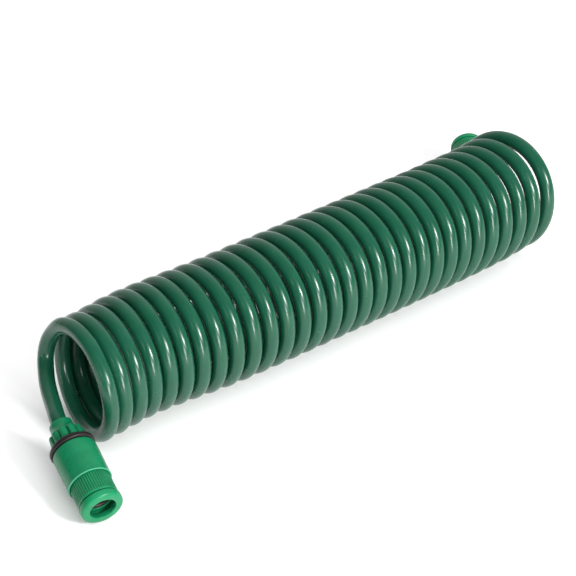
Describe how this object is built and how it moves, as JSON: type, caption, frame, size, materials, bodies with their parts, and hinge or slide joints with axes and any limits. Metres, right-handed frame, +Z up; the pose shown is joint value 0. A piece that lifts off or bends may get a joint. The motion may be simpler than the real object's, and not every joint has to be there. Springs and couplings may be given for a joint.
{
  "type": "spring coil garden hose",
  "caption": "Self-coiling garden hose wound in a close spring, with a free end at each side running into a push-on water connector with a sliding release collar.",
  "frame": {"origin": "on the floor, under the middle of the whole object", "axes": "+X along the coil towards its slightly wider far end, +Z up"},
  "size_m": [0.5338, 0.2166, 0.0987],
  "materials": {
    "hose": "glossy deep green hose",
    "fitting": "semi-gloss moulded mid-green plastic",
    "collar": "semi-gloss moulded mid-green plastic, finely ribbed",
    "ring": "black soft rubber",
    "seal": "black rubber"
  },
  "bodies": {
    "hose": {"hose_coil": "hose", "hose_end_near": "hose", "hose_end_far": "hose", "near_hose_nut": "fitting", "near_cushion_ring": "ring", "near_body": "fitting", "near_seal": "seal", "far_hose_nut": "fitting", "far_cushion_ring": "ring", "far_body": "fitting", "far_seal": "seal"},
    "near_collar": {"near_release_collar": "collar"},
    "far_collar": {"far_release_collar": "collar"}
  },
  "joints": [
    {"name": "near_collar_slide", "type": "slide", "parent": "hose", "child": "near_collar", "axis": [0.169, 0.9552, 0.243], "range_m": [0, 0.003], "stiffness_N_per_m": 1500, "springref_m": -0.003},
    {"name": "far_collar_slide", "type": "slide", "parent": "hose", "child": "far_collar", "axis": [-0.5401, -0.8281, -0.15], "range_m": [0, 0.003], "stiffness_N_per_m": 1500, "springref_m": -0.003}
  ]
}
